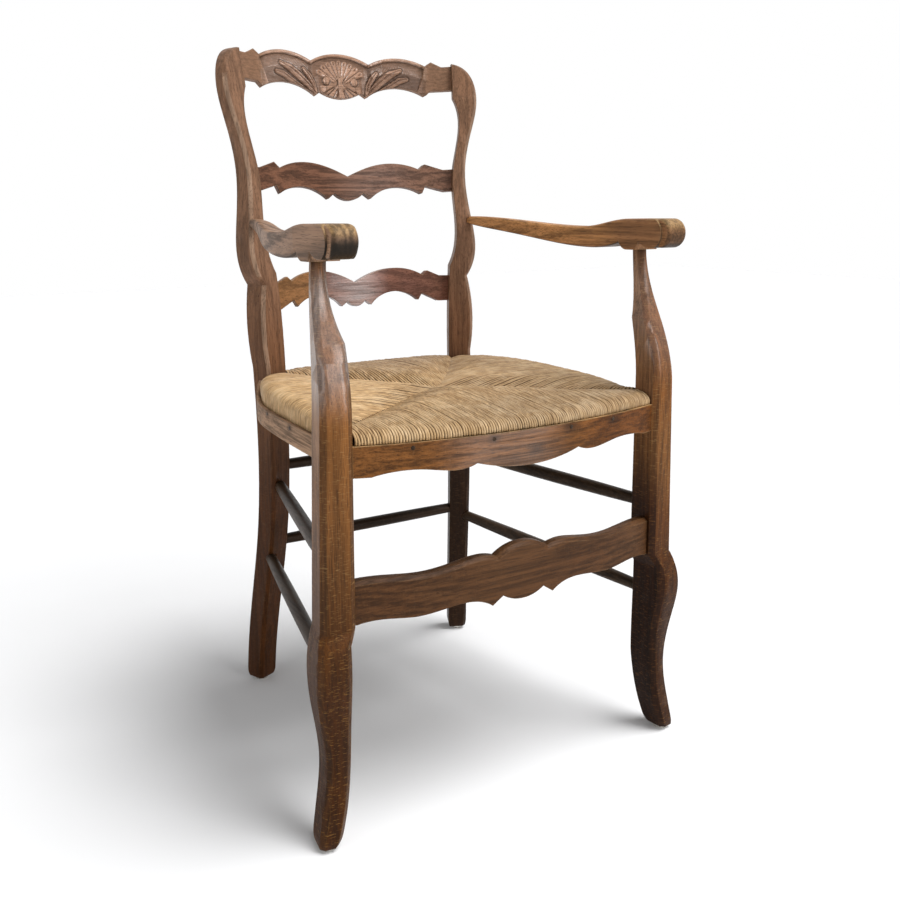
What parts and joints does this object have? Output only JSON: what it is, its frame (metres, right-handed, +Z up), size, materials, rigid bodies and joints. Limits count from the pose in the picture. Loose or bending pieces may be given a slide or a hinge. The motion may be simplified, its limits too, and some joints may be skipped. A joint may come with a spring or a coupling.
{
  "type": "rush seat armchair",
  "caption": "Ladder-back wooden armchair with curved shaped back slats, scrolled arms, chamfered shaped legs, round stretchers and a crowned woven rush seat.",
  "frame": {"origin": "middle of the chair's plan at floor level, under the four glides", "axes": "+Z up, the chair faces -Y, +X to the right of a viewer who looks at its front"},
  "size_m": [0.5198, 0.4962, 0.9177],
  "materials": {
    "frame_wood": "worn satin, brown stained hardwood",
    "slat_wood": "worn satin, brown stained hardwood",
    "arm_wood": "handled, polished pale by wear",
    "dark_wood": "dark stained satin",
    "strip_wood": "rubbed matt",
    "rush": "dry woven rush",
    "nickel": "nickel plated"
  },
  "bodies": {
    "root": {"apron": "frame_wood", "arm_left": "arm_wood", "arm_right": "arm_wood", "back_post_left": "frame_wood", "back_post_right": "frame_wood", "back_stretcher_lower": "dark_wood", "back_stretcher_upper": "dark_wood", "crest_rail": "slat_wood", "front_post_left": "frame_wood", "front_post_right": "frame_wood", "front_stretcher": "slat_wood", "glide_back_left": "nickel", "glide_back_right": "nickel", "glide_front_left": "nickel", "glide_front_right": "nickel", "lower_slat": "slat_wood", "middle_slat": "slat_wood", "rush_seat": "rush", "seat_rail_back": "dark_wood", "seat_rail_front": "dark_wood", "seat_rail_left": "dark_wood", "seat_rail_right": "dark_wood", "side_stretcher_lower_left": "dark_wood", "side_stretcher_lower_right": "dark_wood", "side_stretcher_upper_left": "dark_wood", "side_stretcher_upper_right": "dark_wood", "side_strip_left": "strip_wood", "side_strip_right": "strip_wood"}
  },
  "joints": []
}
